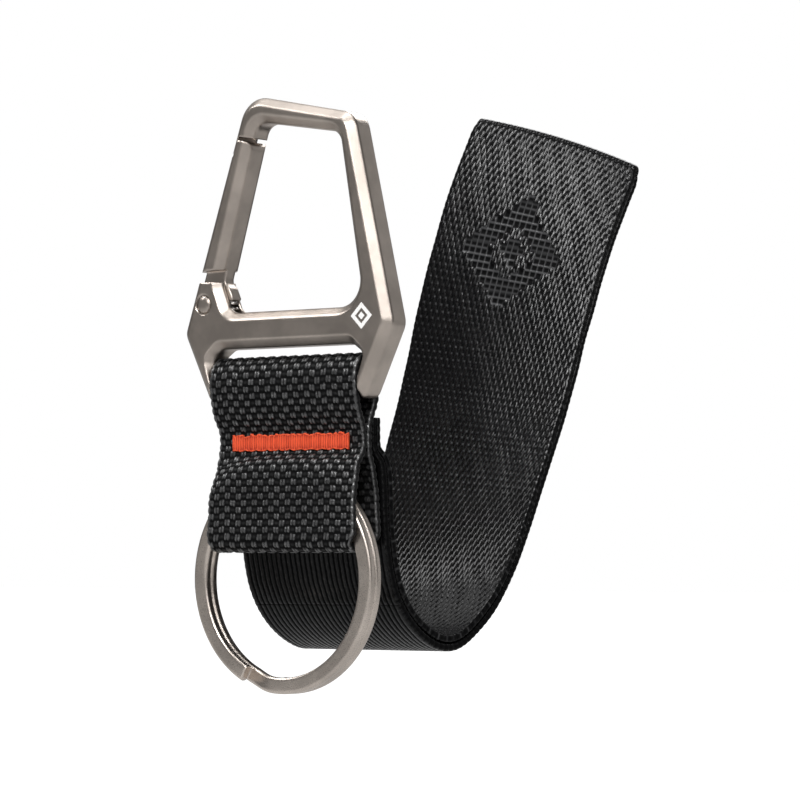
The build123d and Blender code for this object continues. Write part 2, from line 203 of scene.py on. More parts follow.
def band_outline(columns, back_columns):
    """A band's cross-section: the face from left to right, the right edge, the back and the left edge. For
    each point, flat is its place across, and over and up say how far it lies round an edge."""
    turn = np.linspace(0, pi, EDGE_POINTS + 2)[1:-1]
    edge_over = np.sin(turn) ** EDGE_SQUARENESS
    edge_up = np.sign(np.cos(turn)) * np.abs(np.cos(turn)) ** EDGE_SQUARENESS
    face, back = np.linspace(-1, 1, columns), np.linspace(1, -1, back_columns)
    flat = np.concatenate([face, np.ones(EDGE_POINTS), back, -np.ones(EDGE_POINTS)])
    over = np.concatenate([np.zeros(columns), edge_over, np.zeros(back_columns), -edge_over])
    up = np.concatenate([np.ones(columns), edge_up, -np.ones(back_columns), -edge_up])
    return flat, over, up


def band(name, path, columns, back_columns, depth, relief, closed=False, shift=None, pale=None,
         flat_back=True):
    """A woven band along a path.

    path holds, for each row, its distance, centre, along, across and outward directions, width and
    thickness. relief gives each point's height in the weave from 0 to 1, and depth is how deep the weave is
    cut into the band, in mm, so that its highest yarns lie on the plain band's surface. A back that lies
    against another layer stays flat. shift moves whole points, in mm, and the last argument marks pale
    thread and painted highlight spots.
    """
    flat, over, up = band_outline(columns, back_columns)
    half_thick = path["thickness"][:, None] / 2
    a = flat * (path["width"][:, None] / 2 - half_thick) + over * half_thick
    s = path["distance"][:, None] * np.ones_like(a)
    height = np.where(over == 0, relief(a, s), selvedge(s))
    if flat_back:
        height = np.where((over == 0) & (up < 0), 1.0, height)
    out = up * half_thick + up * depth * (height - 1)
    a_cut = a + over * depth * (height - 1)
    across, outward = path["across"][:, None], path["outward"][:, None]
    points = path["centre"][:, None] + across * a_cut[..., None] + outward * out[..., None]
    if shift is not None:
        points = points + shift(a, path)
    weave = np.stack([a, s, up * np.ones_like(a)], axis=-1)
    # Paleness for each point: pale thread, and painted highlight spots.
    light = pale(a, s) if pale is not None else np.zeros_like(a)
    return grid_mesh(name, points, closed, {"relief": height, "weave": weave, "pale": light})


# ---- weaves: height from 0 to 1 at (across, along) in mm ---------------------------------------------
COARSE_CELLS = 26
COARSE_ACROSS = WEBBING_WIDTH / COARSE_CELLS
COARSE_ALONG = 0.9
YARN_WANDER = 0.10
ROW_WANDER = 0.12

CORDS = 56
CORD_PITCH = WEBBING_WIDTH / CORDS
STITCH_PITCH = 1.93
STITCH_LEAN = 0.2
STITCH_HALF_WIDTH = 0.84
STITCH_TAPER = 1.6
STITCH_TIP = 0.02
# The spots at the stitch ends are painted highlights.
STITCH_END_AT = 0.36
STITCH_END_RADIUS = 0.2
STITCH_END_HIGHLIGHT = 0.8

RIB_PITCH = WEBBING_WIDTH / 30
RIB_TWIST_PITCH = 0.9
RIB_WANDER = 0.04

CELL_ACROSS = 2 * CORD_PITCH
CELL_ALONG = STITCH_PITCH / 2
SELVEDGE_PITCH = 1.03
SELVEDGE_LOW = 0.65


def coarse_weave(a, s):
    """A heavy plain weave: short pairs of warp yarns stand up in every other cell, over fat weft yarns."""
    u = (a + YARN_WANDER * slow_noise(s, 7, 41)) / COARSE_ACROSS
    v = (s + ROW_WANDER * slow_noise(a, 6, 42)) / COARSE_ALONG
    yarn = 0.82 + 0.18 * scatter(np.floor(2 * u), np.floor(v))
    pair = 0.3 + 0.7 * yarn * (0.15 + 0.85 * hump(2 * u) ** 0.7) * hump(v) ** 0.5
    weft = 0.1 + 0.45 * hump(v) ** 0.6 * (0.8 + 0.2 * hump(u))
    return np.where(alternate(u) * alternate(v) > 0, pair, weft)


def cord_weave(a, s):
    """Fine cords side by side. Each is a row of slim stitches, pointed at both ends, that lean a little to
    the right and lie half a stitch up from the next cord's."""
    u = a / CORD_PITCH
    height = np.zeros_like(u)
    for neighbour in (-1, 0, 1):
        column = np.floor(u) + neighbour
        v = s / STITCH_PITCH + 0.5 * (column % 2)
        along = v - np.floor(v) - 0.5
        half_width = STITCH_HALF_WIDTH * (1 - np.abs(2 * along) ** STITCH_TAPER) + STITCH_TIP
        across = np.abs(u - column - 0.5 - STITCH_LEAN * along) / half_width
        stitch = np.clip(1 - across**3, 0, 1) ** 0.5
        height = np.maximum(height, stitch)
    return height


def ribs(a, s):
    """Narrow upright ribs, each a tightly twisted cord."""
    u = (a + RIB_WANDER * slow_noise(s, 5, 43)) / RIB_PITCH
    twist = hump(s / RIB_TWIST_PITCH + 0.5 * u)
    return 0.15 + 0.85 * hump(u) ** 0.6 * (0.88 + 0.12 * twist)


def stitch_end_highlights(a, s):
    """1 on a small spot at each stitch's upper end, where it turns into the cloth: a painted highlight where
    it would catch the light.
    """
    u = a / CORD_PITCH
    column = np.floor(u)
    v = s / STITCH_PITCH + 0.5 * (column % 2)
    along = v - np.floor(v) - 0.5
    across = u - column - 0.5 - STITCH_LEAN * along
    away = np.hypot(across * CORD_PITCH, (along - STITCH_END_AT) * STITCH_PITCH)
    return smoothstep(STITCH_END_RADIUS, 0.0, away)


def grid_lines(a, s):
    """Thin threads that frame small square cells."""
    upright = 1 - hump(a / CELL_ACROSS)
    level = 1 - hump(s / CELL_ALONG)
    return np.maximum(0.7 * smoothstep(0.45, 0.85, upright), smoothstep(0.4, 0.8, level))


def selvedge(s):
    """The height of a band's rolled edge: tight turns of weft, side by side."""
    return SELVEDGE_LOW + (1 - SELVEDGE_LOW) * hump(s / SELVEDGE_PITCH)


# ---- wrist strap -------------------------------------------------------------------------------------
STRAP_WIDTH = 25.4
STRAP_LAYER = 1.1
STRAP_SEWN_LAYER = 0.75
STRAP_TWIST = 30.0
STRAP_DRIFT = 4.4
STRAP_COLUMNS = CORDS * 4 + 1
STRAP_BACK_COLUMNS = 13
STRAP_DEPTH = 0.17
ROW_STEP = 0.25

# Points (y, z) down the middle of the strap, from its sewn ends to the fold at its far end.
STRAP_CENTRE_LINE = (
    (2.05, -5.0),
    (2.05, -7.4),
    (2.45, -9.4),
    (3.5, -10.35),
    (4.3, -12.4),
    (4.65, -17.0),
    (5.3, -22.6),
    (6.9, -27.8),
    (13.9, -34.2),
    (18.8, -35.1),
    (23.8, -32.6),
    (28.8, -27.7),
    (35.6, -15.5),
    (42.1, 0.6),
    (46.9, 16.1),
    (52.3, 30.9),
    (54.5, 36.0),
)
strap_yz, strap_at = natural_spline(STRAP_CENTRE_LINE)
SEWN_LENGTH = strap_at[2]
STRAP_LENGTH = strap_at[-1]
TURN_AT = SEWN_LENGTH + 30.0
STRAP_CUT_AT = SEWN_LENGTH + 21.0
FULL_THICKNESS_OVER = 4.0

FOLD_RADIUS = (STRAP_LAYER + LAYER_GAP) / 2
FOLD_LENGTH = pi * FOLD_RADIUS
FOLD_END = STRAP_LENGTH + FOLD_LENGTH
FOLD_ROWS = 14
FOLD_CROWN = 0.8
CROWN_REACH = 22.0
BACK_LAYER_SHIFT = 0.3
CORNER_ROUNDING = 0.7
CORNER_REACH = 2.0
RIB_BLEND = 1.5
DIRECTION_STEP = 0.01

MOTIF_AT = SEWN_LENGTH + 98.0
MOTIF_ACROSS = -0.8
MOTIF_HALF_LENGTH = 8.6
MOTIF_HALF_WIDTH = 7.4
MOTIF_HOLE = 0.5
MOTIF_DOT = 0.24
MOTIF_FLOOR = 0.1
MOTIF_LINE_HEIGHT = 0.75


def strap_rows(s, side):
    """One layer's rows at distances s. side is 1 for the outside of the turn and -1 for the inside. The
    band's face is the side away from the other layer, so the inside layer runs backwards. The weave runs on
    from the inside layer, over the fold at the far end, to the outside one."""

    def centre(at):
        turned = np.clip((at - TURN_AT) / (STRAP_LENGTH - TURN_AT), 0, None)
        wander = 0.12 * slow_noise(at, 38, 3) * smoothstep(20, 40, at)
        return np.column_stack([STRAP_DRIFT * turned**3 + wander, strap_yz(at)]), turned

    along = unit(centre(s + DIRECTION_STEP)[0] - centre(s - DIRECTION_STEP)[0])
    middle, turned = centre(s)
    twist = np.radians(STRAP_TWIST * turned)
    across = np.column_stack([np.cos(twist), np.sin(twist), np.zeros_like(s)])
    across = unit(across - np.sum(across * along, axis=1, keepdims=True) * along)
    outward = np.cross(along, across)
    full = np.clip((s - SEWN_LENGTH) / FULL_THICKNESS_OVER, 0, 1)
    thickness = STRAP_SEWN_LAYER + (STRAP_LAYER - STRAP_SEWN_LAYER) * full
    offset = side * (thickness + LAYER_GAP) / 2
    rounded = CORNER_ROUNDING * np.clip((s - STRAP_LENGTH + CORNER_REACH) / CORNER_REACH, 0, 1) ** 2
    slipped = BACK_LAYER_SHIFT * smoothstep(0.3, 0.9, turned) * (side > 0)
    return {
        "distance": s if side < 0 else 2 * STRAP_LENGTH + FOLD_LENGTH - s,
        "centre": middle + outward * offset[:, None] + across * slipped[:, None],
        "along": along,
        "across": across,
        "outward": outward * side,
        "width": STRAP_WIDTH - rounded + 0.12 * slow_noise(s, 17, 5 + side),
        "thickness": thickness,
    }


def join_rows(*parts):
    return {key: np.concatenate([part[key] for part in parts]) for key in parts[0]}


def fold_rows():
    """The tight turn at the strap's far end, from the outer layer round to the inner one."""
    end = strap_rows(np.array([STRAP_LENGTH]), 1)
    across, outward = end["across"][0], end["outward"][0]
    along = np.cross(across, outward)
    turn = np.linspace(0, pi, FOLD_ROWS + 2)[1:-1]
    slip = BACK_LAYER_SHIFT * turn[:, None] / pi
    middle = end["centre"][0] - outward * FOLD_RADIUS - across * slip
    face = outward * np.cos(turn[:, None]) + along * np.sin(turn[:, None])
    return {
        "distance": STRAP_LENGTH + FOLD_LENGTH * (1 - turn / pi),
        "centre": middle + face * FOLD_RADIUS,
        "along": np.repeat([along], FOLD_ROWS, axis=0),
        "across": np.repeat([across], FOLD_ROWS, axis=0),
        "outward": face,
        "width": np.full(FOLD_ROWS, end["width"][0]),
        "thickness": np.full(FOLD_ROWS, STRAP_LAYER),
    }


def motif_mask(a, s):
    """1 inside a plain upright diamond with a dot in it, woven into the strap's front in whole cells."""
    cell_a = (np.floor(a / CELL_ACROSS) + 0.5) * CELL_ACROSS
    cell_s = (np.floor(s / CELL_ALONG) + 0.5) * CELL_ALONG
    reach = np.abs(cell_a - MOTIF_ACROSS) / MOTIF_HALF_WIDTH + np.abs(cell_s - MOTIF_AT) / MOTIF_HALF_LENGTH
    return np.where((reach < 1) & (reach > MOTIF_HOLE) | (reach < MOTIF_DOT), 1.0, 0.0)


def past_fold(s):
    """1 on the outer layer, which is ribbed, and 0 on the inner layer and over the fold."""
    return smoothstep(FOLD_END, FOLD_END + RIB_BLEND, s)


def strap_relief(a, s):
    mask = motif_mask(a, s)
    cells = MOTIF_FLOOR + MOTIF_LINE_HEIGHT * grid_lines(a, s)
    cords = cord_weave(a, s) * (1 - mask) + cells * mask
    ribbed = past_fold(s)
    return cords * (1 - ribbed) + ribs(a, s) * ribbed


def strap_pale_and_highlights(a, s):
    # Pale threads inside the motif, and painted highlight spots at the stitch ends outside it.
    mask = motif_mask(a, s)
    ends = STITCH_END_HIGHLIGHT * stitch_end_highlights(a, s) * (1 - past_fold(s))
    return grid_lines(a, s) * mask + ends * (1 - mask)


def crowned(a, path):
    """The fold at the far end bows up a little in the middle."""
    folded = np.clip(STRAP_LENGTH + FOLD_END - path["distance"], 0, path["distance"])
    near_fold = smoothstep(STRAP_LENGTH - CROWN_REACH, STRAP_LENGTH, folded)
    rise = FOLD_CROWN * near_fold[:, None] * (1 - (2 * a / STRAP_WIDTH) ** 2)
    upward = path["along"] * np.sign(path["along"][:, 2:])
    return upward[:, None] * rise[..., None]


def strap_band(name, rows, shift=None):
    return band(name, rows, STRAP_COLUMNS, STRAP_BACK_COLUMNS, STRAP_DEPTH, strap_relief, shift=shift,
                pale=strap_pale_and_highlights)


def build_near_strap():
    """The near run's two layers, from the sewn ends to just before the turn."""
    near = np.linspace(0, STRAP_CUT_AT, round(STRAP_CUT_AT / ROW_STEP))
    outer = strap_band("strap_near_outer_webbing", strap_rows(near, 1))
    inner = strap_band("strap_near_inner_webbing", strap_rows(near[::-1], -1))
    return outer, inner


def build_far_strap():
    """The far run, in one piece: out along the outer layer, over the fold and back along the inner one."""
    run = np.linspace(STRAP_CUT_AT, STRAP_LENGTH, round((STRAP_LENGTH - STRAP_CUT_AT) / ROW_STEP))
    rows = join_rows(strap_rows(run, 1), fold_rows(), strap_rows(run[::-1], -1))
    return strap_band("strap_far_webbing", rows, shift=crowned)


# ---- webbing tab -------------------------------------------------------------------------------------
# Rows of (y, z, thickness) round the strip's middle line: down the front from the bar, under the bar tack,
# round the ring's pocket and up the back.
TAB_MIDDLE_LINE = (
    (0.0, 3.09, 1.22),
    (-1.5, 2.3, 1.22),
    (-2.12, 0.9, 1.22),
    (-2.17, -0.5, 1.22),
    (-1.9, -2.6, 1.15),
    (-1.15, -4.9, 1.05),
    (-0.42, -6.4, 1.0),
    (-0.25, -7.3, 1.0),
    (-0.25, -8.9, 1.0),
    (-0.75, -9.8, 1.0),
    (-1.85, -10.75, 1.02),
    (-2.4, -12.4, 1.05),
    (-2.6, -15.5, 1.05),
    (-2.63, -19.5, 1.05),
    (-2.55, -21.3, 1.05),
    (-1.7, -22.25, 1.05),
    (0.0, -22.42, 1.05),
    (1.6, -22.25, 1.05),
    (2.42, -21.3, 1.05),
    (2.5, -19.5, 1.05),
    (2.46, -15.5, 1.05),
    (2.15, -12.6, 1.05),
    (1.6, -10.9, 1.02),
    (0.95, -9.8, 1.0),
    (0.8, -8.9, 1.0),
    (0.8, -7.0, 1.0),
    (0.95, -5.7, 1.0),
    (1.7, -3.7, 1.1),
    (2.12, -1.8, 1.2),
    (2.2, -0.2, 1.22),
    (2.12, 0.9, 1.22),
    (1.5, 2.3, 1.22),
)
TAB_WIDTH = 25.5
TAB_MIDDLE_X = -0.05
TAB_GATHER = 0.3
TAB_TUCK = 0.9
TAB_DEPTH = 0.34
TAB_COLUMNS = COARSE_CELLS * 8 + 1
TAB_BACK_COLUMNS = COARSE_CELLS * 4 + 1
TAB_ROWS_PER_CELL = 5
TAB_OVERLAP = 3
PINCH_MIDDLE_Y = 0.275
PINCHED_APART = 0.52
FALL = 0.5
FALL_MORE_ON_LEFT = 0.25
FALL_OVER = 4.5
RING_CENTRE_X = -0.6
RING_CENTRE_Z = -26.4
RING_OUTER_RADIUS = 15.4


def tab_rows():
    """The closed strip's rows at even steps. It narrows a little where the bar tack gathers it, and its
    right edge draws in at the pocket's fold, where the split ring passes."""
    before, after = TAB_MIDDLE_LINE[-TAB_OVERLAP:], TAB_MIDDLE_LINE[: TAB_OVERLAP + 1]
    curve, at = natural_spline(before + TAB_MIDDLE_LINE + after)
    start, end = at[TAB_OVERLAP], at[TAB_OVERLAP + len(TAB_MIDDLE_LINE)]
    cells = 2 * round((end - start) / (2 * COARSE_ALONG))
    count = cells * TAB_ROWS_PER_CELL
    s = np.linspace(start, end, count, endpoint=False)
    here = curve(s)
    heading = unit(curve(s + DIRECTION_STEP)[:, :2] - curve(s - DIRECTION_STEP)[:, :2])
    along = np.column_stack([np.zeros(count), heading])
    across = np.repeat([(1.0, 0.0, 0.0)], count, axis=0)
    z = here[:, 1]
    gathered = smoothstep(-1.5, -8.5, z) * smoothstep(-20.5, -14.0, z)
    tucked = TAB_TUCK * smoothstep(-20.4, -21.9, z)
    return {
        "distance": (s - start) / (end - start) * COARSE_ALONG * cells,
        "centre": np.column_stack([TAB_MIDDLE_X - tucked / 2, here[:, :2]]),
        "along": along,
        "across": across,
        "outward": np.cross(along, across),
        "width": TAB_WIDTH - TAB_GATHER * gathered - tucked + 0.1 * slow_noise(s, 9, 21),
        "thickness": here[:, 2],
    }


def draped(a, path):
    """Past the ring's outer edge nothing holds the pocket open, so both sides fall in towards each other."""
    y, z = path["centre"][:, 1][:, None], path["centre"][:, 2][:, None]
    beyond_ring = np.hypot(a - RING_CENTRE_X, z - RING_CENTRE_Z) - RING_OUTER_RADIUS
    loose = smoothstep(0.0, FALL_OVER, beyond_ring) * smoothstep(-9.0, -10.0, z)
    room = np.clip(np.abs(y - PINCH_MIDDLE_Y) - PINCHED_APART, 0, None)
    fall = FALL - FALL_MORE_ON_LEFT * np.tanh(a / 4)
    return path["outward"][:, None] * (-fall * loose * room)[..., None]


def build_tab():
    return band("tab_webbing", tab_rows(), TAB_COLUMNS, TAB_BACK_COLUMNS, TAB_DEPTH, coarse_weave,
                closed=True, shift=draped, flat_back=False)


# ---- bar tack ----------------------------------------------------------------------------------------
TACK_WIDTH = 20.2
TACK_MIDDLE_Z = -8.1
TACK_HEIGHT = 2.2
TACK_PROUD = 0.27
TACK_SUNK = 0.25
THREAD_PITCH = 0.40
TACK_DEPTH = 0.25
TACK_FRONT_Y = -0.75
TACK_BACK_Y = 2.8
TACK_COLUMNS = 15
TACK_BACK_COLUMNS = 5
THREAD_STEPS = 6
THREAD_RAGGED = 0.14
TACK_SCALLOP = 0.34
TACK_END_REACH = 0.25


def build_tack(name, y, outward_y, seed):
    """A pad of satin stitches side by side across the tab. Each stitch runs up and down, and its ends are
    drawn into the weave at slightly different heights."""
    threads = round(TACK_WIDTH / THREAD_PITCH)
    s = np.linspace(0, TACK_WIDTH, threads * THREAD_STEPS + 1)
    random = np.random.default_rng(seed)
    ragged = np.repeat(random.uniform(-THREAD_RAGGED, THREAD_RAGGED, threads), THREAD_STEPS)
    ragged = np.append(ragged, ragged[-1])
    scallop = TACK_SCALLOP * hump((s - TACK_WIDTH / 2) / (2 * COARSE_ACROSS))
    thickness = TACK_PROUD + TACK_SUNK
    x = (s - TACK_WIDTH / 2) * outward_y * -1
    middle_y = y + outward_y * (TACK_PROUD - TACK_SUNK) / 2
    count = len(s)
    ends = np.clip(np.minimum(s, TACK_WIDTH - s) / TACK_END_REACH, 0, 1)
    rows = {
        "distance": s,
        "centre": np.column_stack([x, np.full(count, middle_y), TACK_MIDDLE_Z + ragged * 0.5]),
        "along": np.repeat([(-outward_y, 0.0, 0.0)], count, axis=0),
        "across": np.repeat([(0.0, 0.0, 1.0)], count, axis=0),
        "outward": np.repeat([(0.0, outward_y, 0.0)], count, axis=0),
        "width": TACK_HEIGHT - 0.2 + scallop + ragged,
        "thickness": thickness * (0.75 + 0.25 * np.sqrt(ends)),
    }

    def relief(a, s):
        place_in_row = s / THREAD_PITCH + 0.5 / THREAD_STEPS
        tension = 0.6 + 0.4 * scatter(np.floor(place_in_row), seed)
        thread = tension * hump(place_in_row) ** 0.7
        crown = 1 - np.abs(2 * a / TACK_HEIGHT) ** 2.5
        return np.clip(0.4 * crown + 0.6 * thread, 0, 1)

    return band(name, rows, TACK_COLUMNS, TACK_BACK_COLUMNS, TACK_DEPTH, relief)


# ---- gate spring -------------------------------------------------------------------------------------
SPRING_WIRE_RADIUS = 0.16
SPRING_TURNS = 8
SPRING_STEPS_PER_TURN = 20
SPRING_SIDES = 10
SPRING_EASED = 0.35


def build_spring():
    """A small coil spring between the frame and the gate's heel, with a closed turn at each end."""
    low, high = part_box("gate_spring")
    centre = (np.array(low) + np.array(high)) / (2 * MM)
    height = (high.z - low.z) / MM
    wire = SPRING_WIRE_RADIUS
    radius = (high.x - low.x) / (2 * MM) - wire
    t = np.linspace(0, 1, SPRING_TURNS * SPRING_STEPS_PER_TURN)
    eased = smoothstep(0.04, 0.96, t)
    straight = np.clip((t - 0.1) / 0.8, 0, 1)
    climb = eased * SPRING_EASED + straight * (1 - SPRING_EASED)
    angle = 2 * pi * SPRING_TURNS * t
    x = centre[0] + radius * np.cos(angle)
    y = centre[1] + radius * np.sin(angle)
    z = (high.z / MM + HOOK_HEIGHT) - height + wire + climb * (height - 2 * wire)
    return tube("gate_spring_coil", np.column_stack([x, y, z]), wire, SPRING_SIDES)


# ---- materials ---------------------------------------------------------------------------------------
class Wire:
    """A value in a material's node tree that can be used in arithmetic. Each operation adds one Math node."""

    def __init__(self, tree, socket):
        self.tree = tree
        self.socket = socket

    def math(self, operation, *others):
        node = self.tree.nodes.new("ShaderNodeMath")
        node.operation = operation
        for into, value in zip(node.inputs, (self, *others)):
            connect(self.tree, value, into)
        return Wire(self.tree, node.outputs[0])

    def __add__(self, other):
        return self.math("ADD", other)

    def __sub__(self, other):
        return self.math("SUBTRACT", other)

    def __mul__(self, other):
        return self.math("MULTIPLY", other)

    def __truediv__(self, other):
        return self.math("DIVIDE", other)


def connect(tree, value, into):
    """Feeds a Wire, or a plain value, into an input socket."""
    if isinstance(value, Wire):
        tree.links.new(value.socket, into)
    else:
        into.default_value = value


def add_node(tree, kind, output, inputs, **settings):
    """Adds a node, sets it up and returns one of its outputs."""
    node = tree.nodes.new(kind)
    for key, value in settings.items():
        setattr(node, key, value)
    for key, value in inputs.items():
        connect(tree, value, node.inputs[key])
    return Wire(tree, node.outputs[output])


def smooth_range(wire, low, high, to_low=0.0, to_high=1.0):
    inputs = {"Value": wire, "From Min": low, "From Max": high, "To Min": to_low, "To Max": to_high}
    return add_node(wire.tree, "ShaderNodeMapRange", "Result", inputs, interpolation_type="SMOOTHSTEP")


def blend_colours(tree, share, first, second):
    node = tree.nodes.new("ShaderNodeMix")
    node.data_type = "RGBA"
    for key, value in (("Factor_Float", share), ("A_Color", first), ("B_Color", second)):
        into = next(i for i in node.inputs if i.identifier == key)
        connect(tree, value, into)
    return Wire(tree, next(o for o in node.outputs if o.identifier == "Result_Color"))


def noise(tree, where, scale, detail=2.0, roughness=0.5):
    inputs = {"Vector": where, "Scale": scale, "Detail": detail, "Roughness": roughness}
    return add_node(tree, "ShaderNodeTexNoise", 0, inputs)


def stretched(tree, where, scale):
    """A vector with each of its parts multiplied by scale."""
    return add_node(tree, "ShaderNodeVectorMath", 0, {0: where, 1: scale}, operation="MULTIPLY")


def attribute(tree, name, output):
    return add_node(tree, "ShaderNodeAttribute", output, {}, attribute_name=name)


def bump(tree, height, distance, normal=None):
    inputs = {"Height": height, "Distance": distance, "Strength": 1.0}
    if normal is not None:
        inputs["Normal"] = normal
    return add_node(tree, "ShaderNodeBump", "Normal", inputs)


def colour(red, green, blue):
    return (red, green, blue, 1.0)


def new_material(name, **inputs):
    """A material with one Principled shader, and its node tree."""
    material = bpy.data.materials.new(name)
    material.use_nodes = True
    tree = material.node_tree
    shader = next(n for n in tree.nodes if n.type == "BSDF_PRINCIPLED")
    for key, value in inputs.items():
        shader.inputs[key].default_value = value
    return material, tree, shader


MARK_X = 13.6
MARK_Z = 8.3
MARK_REACH = 1.75
MARK_EDGE = 0.08
MARK_HOLE = 0.62 * MARK_REACH
MARK_DOT = 0.28 * MARK_REACH
MARK_COLOUR = colour(0.88, 0.87, 0.85)


def mark_mask(tree, where):
    """1 on a small laser-engraved diamond with a dot in it, low on the front face's right."""
    parts = tree.nodes.new("ShaderNodeSeparateXYZ")
    connect(tree, where, parts.inputs[0])
    x, y, z = (Wire(tree, output) for output in parts.outputs)
    reach = (x - MARK_X).math("ABSOLUTE") + (z - (MARK_Z - HOOK_HEIGHT)).math("ABSOLUTE")
    outside = smooth_range(reach, MARK_REACH, MARK_REACH + MARK_EDGE, 1.0, 0.0)
    inside = smooth_range(reach, MARK_HOLE - MARK_EDGE, MARK_HOLE)
    dot = smooth_range(reach, MARK_DOT, MARK_DOT + MARK_EDGE, 1.0, 0.0)
    front = smooth_range(y, FRONT_FACE_Y + 0.02, FRONT_FACE_Y + 0.06, 1.0, 0.0)
    return (outside * inside + dot) * front


EDGE_ROUNDING = 0.5
GRAIN_HEIGHT = 0.006


def satin_metal(name, tint, roughness, marked=False):
    """Fine-blasted metal: a slightly mottled tint, a very fine grain, and edges rubbed brighter and
    smoother."""
    material, tree, shader = new_material(name)
    metres = add_node(tree, "ShaderNodeTexCoord", "Object", {})
    where = stretched(tree, metres, (1 / MM, 1 / MM, 1 / MM))
    mottle = noise(tree, where, 0.22, 3.0, 0.55)
    grain = noise(tree, where, 9.0, 3.0, 0.6)
    scuffs = smooth_range(noise(tree, stretched(tree, where, (0.5, 0.5, 3.0)), 1.6, 4.0, 0.7), 0.62, 0.75)
    rounded = add_node(tree, "ShaderNodeBevel", "Normal", {"Radius": EDGE_ROUNDING * MM}, samples=8)
    facing = add_node(tree, "ShaderNodeNewGeometry", "Normal", {})
    bent = add_node(tree, "ShaderNodeVectorMath", "Value", {0: rounded, 1: facing}, operation="DOT_PRODUCT")
    rubbed = smooth_range(bent, 0.97, 0.85) * smooth_range(mottle, 0.25, 0.65, 0.35, 1.0)

    darker = tuple(0.86 * c for c in tint)
    lighter = tuple(min(1.0, 1.08 * c) for c in tint)
    worn = tuple(min(1.0, 1.3 * c) for c in tint)
    base = blend_colours(tree, smooth_range(mottle, 0.3, 0.7), colour(*darker), colour(*lighter))
    base = blend_colours(tree, rubbed * 0.55, base, colour(*worn))
    rough = smooth_range(grain, 0.3, 0.7, roughness - 0.04, roughness + 0.05)
    rough = rough - rubbed * 0.08 - scuffs * 0.05
    metallic = 1.0
    if marked:
        mark = mark_mask(tree, where)
        base = blend_colours(tree, mark, base, MARK_COLOUR)
        rough = rough + mark * 0.3
        metallic = add_node(tree, "ShaderNodeMath", 0, {0: 1.0, 1: mark}, operation="SUBTRACT")
    connect(tree, base, shader.inputs["Base Color"])
    connect(tree, rough, shader.inputs["Roughness"])
    connect(tree, metallic, shader.inputs["Metallic"])
    connect(tree, bump(tree, grain, GRAIN_HEIGHT * MM, rounded), shader.inputs["Normal"])
    return material


# Grey for the motif's pale threads and for the painted highlight spots at the stitch ends.
PALE_THREAD_AND_HIGHLIGHT = colour(0.06, 0.06, 0.062)
LEAST_GLOSS = 0.03


def woven(name, dark, light, fibres_across, fibre_height, roughness, gloss, gap_top):
    """Nylon yarn: nearly black and dull in the weave's hollows, which end at the relief gap_top, and glossy
    with fine filaments on each yarn. Its colour holds painted light: painted sheen lightens the yarn tops,
    painted glints dot them, and painted shade darkens the hollows and the band's edges."""
    material, tree, shader = new_material(name)
    weave = attribute(tree, "weave", "Vector")
    relief = attribute(tree, "relief", "Fac")
    pale = attribute(tree, "pale", "Fac")
    filaments = noise(tree, stretched(tree, weave, (fibres_across, 1.6, 1.0)), 1.0, 3.0, 0.6)
    patches = noise(tree, weave, 0.12, 2.0)
    glints = smooth_range(noise(tree, stretched(tree, weave, (3.0, 2.2, 1.0)), 1.3, 2.0), 0.55, 0.72)
    parts = tree.nodes.new("ShaderNodeSeparateXYZ")
    connect(tree, weave, parts.inputs[0])
    # flat is low round the band's edges, so through shine their colour is darkened there as painted shade.
    flat = smooth_range(Wire(tree, parts.outputs[2]).math("ABSOLUTE"), 0.3, 0.95, 0.1, 1.0)
    top = smooth_range(relief, gap_top, 0.95) * flat
    shine = top * smooth_range(filaments, 0.3, 0.7, 0.35, 1.0) * smooth_range(patches, 0.3, 0.7, 0.75, 1.0)
    # Painted sheen and shade: the colour is lighter where the yarn tops shine and darker in the hollows.
    base = blend_colours(tree, shine, colour(*dark), colour(*light))
    # Painted glints: small lighter spots in the colour of the yarn tops.
    base = blend_colours(tree, glints * top * 0.5, base, colour(*(2.5 * c for c in light)))
    # Pale motif thread, and on the strap the painted highlight spots at the stitch ends.
    base = blend_colours(tree, pale, base, PALE_THREAD_AND_HIGHLIGHT)
    connect(tree, base, shader.inputs["Base Color"])
    rough = smooth_range(top + filaments * 0.3, 0.1, 1.2, roughness + 0.3, roughness - 0.04)
    specular = (shine + glints * top * 0.6 + pale * 0.3) * gloss + LEAST_GLOSS
    connect(tree, rough, shader.inputs["Roughness"])
    connect(tree, specular, shader.inputs["Specular IOR Level"])
    connect(tree, bump(tree, filaments, fibre_height * MM), shader.inputs["Normal"])
    return material


FILAMENT_HEIGHT = 0.04


def stitched(name, deep, bright):
    """Satin thread: a deep colour between the stitches, which is painted shade, and a bright one on their
    tops and along their filaments.
    """
    material, tree, shader = new_material(name, **{"Specular IOR Level": 0.3})
    weave = attribute(tree, "weave", "Vector")
    relief = attribute(tree, "relief", "Fac")
    filaments = noise(tree, stretched(tree, weave, (1.5, 16.0, 1.0)), 1.0, 3.0, 0.6)
    # The colour follows the stitches' relief, darker between them as painted shade, and the filaments vary it
    # a little.
    share = smooth_range(relief * 0.9 + filaments * 0.7, 0.55, 1.3)
    base = blend_colours(tree, share, colour(*deep), colour(*bright))
    connect(tree, base, shader.inputs["Base Color"])
    connect(tree, smooth_range(filaments, 0.2, 0.8, 0.5, 0.34), shader.inputs["Roughness"])
    connect(tree, bump(tree, filaments, FILAMENT_HEIGHT * MM), shader.inputs["Normal"])
    return material


